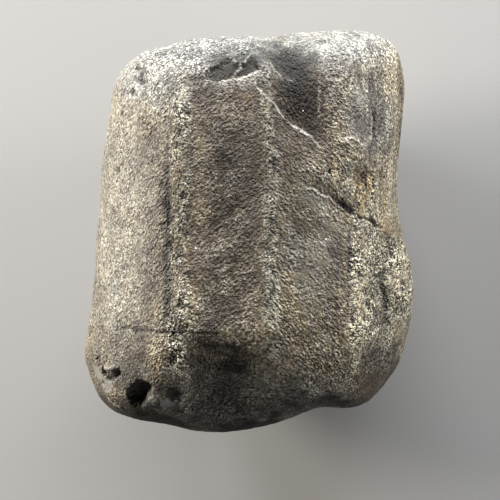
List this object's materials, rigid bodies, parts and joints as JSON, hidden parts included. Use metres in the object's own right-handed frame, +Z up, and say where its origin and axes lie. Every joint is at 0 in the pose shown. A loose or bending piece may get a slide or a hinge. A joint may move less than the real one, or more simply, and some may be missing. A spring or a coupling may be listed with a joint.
{
  "type": "petrified wood",
  "caption": "Water-worn stone of silicified wood with lengthwise grain bands, a saddle in its head and fracture ledges, lying on a natural flat.",
  "frame": {"origin": "middle of the stone's bounding box, on the ground that it lies on", "axes": "+Y along the wood grain towards the head with the saddle, +Z up out of the broad face, +X across the grain"},
  "size_m": [0.047, 0.054, 0.041],
  "materials": {
    "petrified_wood": "silicified wood, river-worn to a satin skin over granular grain bands"
  },
  "bodies": {
    "root": {"petrified_wood": "petrified_wood"}
  },
  "joints": []
}
